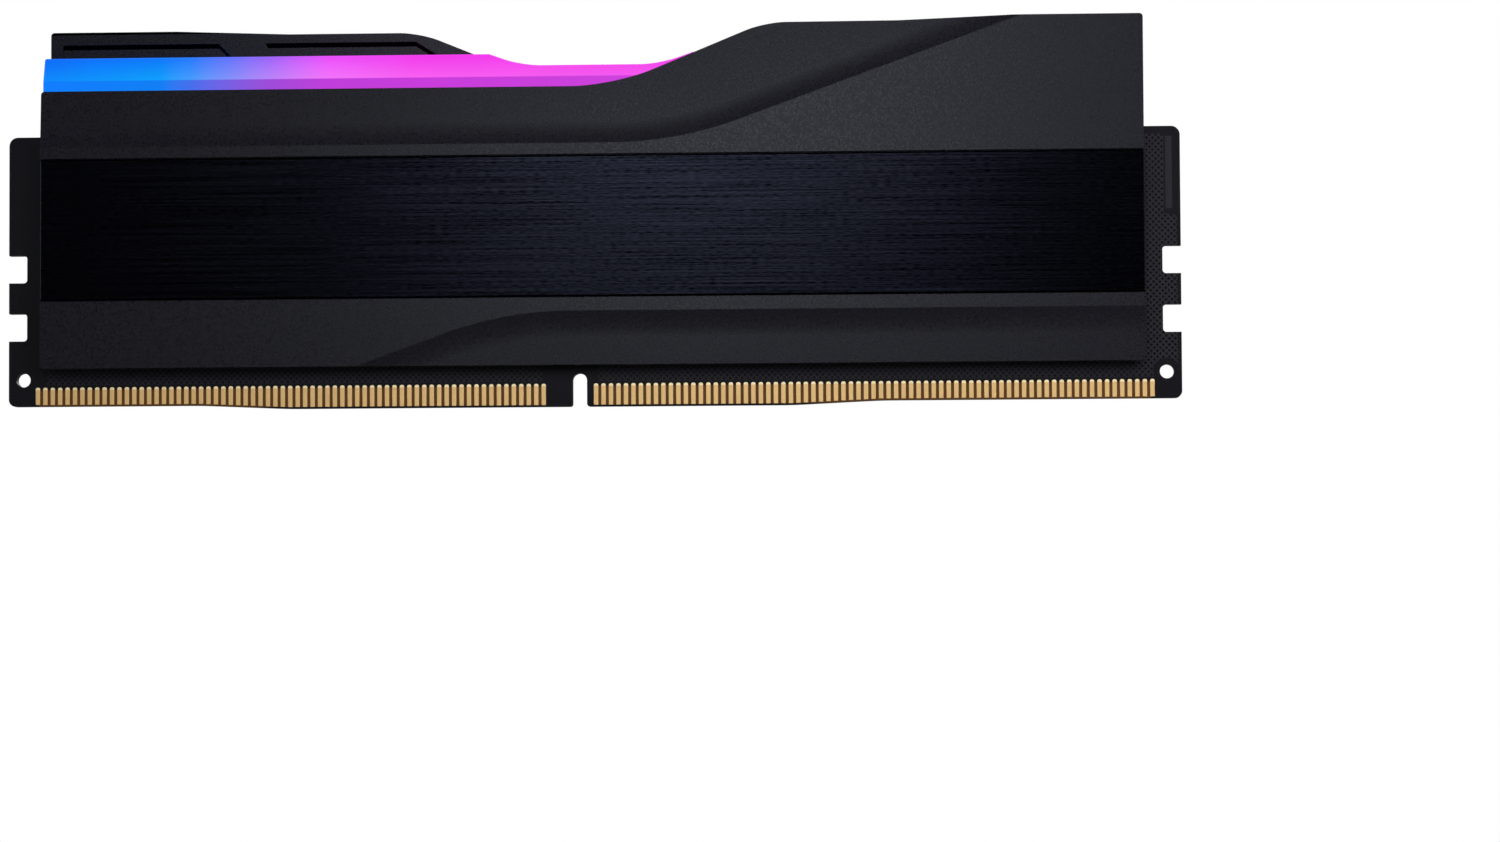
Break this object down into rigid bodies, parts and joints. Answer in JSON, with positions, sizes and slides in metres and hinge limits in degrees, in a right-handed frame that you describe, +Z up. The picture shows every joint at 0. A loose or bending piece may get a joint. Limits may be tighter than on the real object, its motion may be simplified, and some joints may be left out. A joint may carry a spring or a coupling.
{
  "type": "ram module",
  "caption": "Memory module with a gold contact edge, two finned black heat spreaders with brushed plates, and a translucent light bar between them.",
  "frame": {"origin": "middle of the contact edge at its lowest point, on the board's mid-plane, where the module meets its socket", "axes": "+X along the module to the right as seen from the front, +Y to the back, +Z up and away from the socket"},
  "size_m": [0.1334, 0.0082, 0.0437],
  "materials": {
    "board": "black solder mask over glass-epoxy laminate",
    "contacts": "hard gold plating",
    "chip_moulding": "black moulding compound",
    "inductor": "pressed grey ferrite",
    "capacitor": "fired ceramic with tinned ends",
    "resistor": "black glaze with tinned ends",
    "lamp": "clear lens over white moulding",
    "thermal_pad": "soft filled silicone",
    "spreader": "fine satin black powder coat",
    "brushed_plate": "lengthwise brushed, black anodised",
    "light_bar": "milky translucent plastic, lit from below",
    "tape": "double-sided adhesive"
  },
  "bodies": {
    "root": {"circuit_board": "board", "front_contacts": "contacts", "back_contacts": "contacts", "memory_chip_1": "chip_moulding", "memory_chip_2": "chip_moulding", "memory_chip_3": "chip_moulding", "memory_chip_4": "chip_moulding", "memory_chip_5": "chip_moulding", "memory_chip_6": "chip_moulding", "memory_chip_7": "chip_moulding", "memory_chip_8": "chip_moulding", "power_controller": "chip_moulding", "configuration_hub": "chip_moulding", "light_controller": "chip_moulding", "power_inductor_1": "inductor", "power_inductor_2": "inductor", "power_inductor_3": "inductor", "power_capacitors": "capacitor", "front_capacitors": "capacitor", "back_capacitors": "capacitor", "resistor_networks": "resistor", "indicator_lamp_1": "lamp", "indicator_lamp_2": "lamp", "indicator_lamp_3": "lamp", "indicator_lamp_4": "lamp", "indicator_lamp_5": "lamp", "indicator_lamp_6": "lamp", "indicator_lamp_7": "lamp", "indicator_lamp_8": "lamp", "left_thermal_pad": "thermal_pad", "right_thermal_pad": "thermal_pad", "power_thermal_pad": "thermal_pad", "back_thermal_pad": "thermal_pad", "front_heat_spreader": "spreader", "back_heat_spreader": "spreader", "front_plate_adhesive": "tape", "back_plate_adhesive": "tape", "front_plate": "brushed_plate", "back_plate": "brushed_plate", "light_bar": "light_bar", "front_bar_tape": "tape", "back_bar_tape": "tape"}
  },
  "joints": []
}
